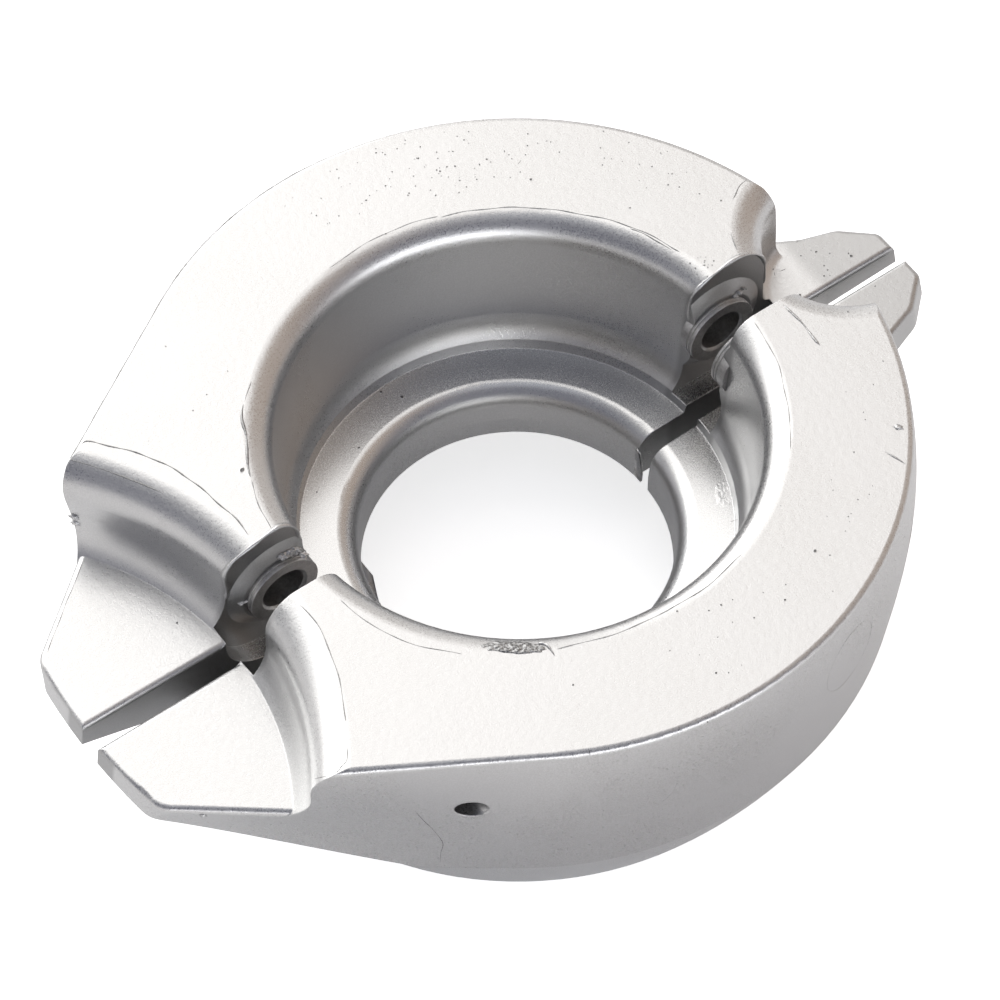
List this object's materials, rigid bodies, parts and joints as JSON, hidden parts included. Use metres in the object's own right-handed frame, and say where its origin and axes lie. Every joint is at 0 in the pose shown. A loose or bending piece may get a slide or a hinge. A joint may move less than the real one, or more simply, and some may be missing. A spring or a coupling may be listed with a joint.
{
  "type": "sacrificial anode",
  "caption": "Split collar anode for a boat's drive leg: mirrored cast halves with a stepped bore, a long wing and a short lobe, and cast-in bolt bushes.",
  "frame": {"origin": "on the axis of the bores, half way up the throat that grips the leg", "axes": "+Z along the bores towards the open mouth; X along the split with the long wing at -X; rear half at +Y, front half at -Y"},
  "size_m": [0.156, 0.1224, 0.0485],
  "materials": {
    "rear_casting": "as-cast anode alloy, fine grain, softly rounded edges, thin flash",
    "front_casting": "as-cast anode alloy, fine grain, softly rounded edges, thin flash",
    "bush_steel": "turned steel, dull, with fine grooves"
  },
  "bodies": {
    "root": {"rear_half": "rear_casting", "front_half": "front_casting", "plain_bush_wide_end": "bush_steel", "plain_bush_narrow_end": "bush_steel", "threaded_bush_wide_end": "bush_steel", "threaded_bush_narrow_end": "bush_steel"}
  },
  "joints": []
}
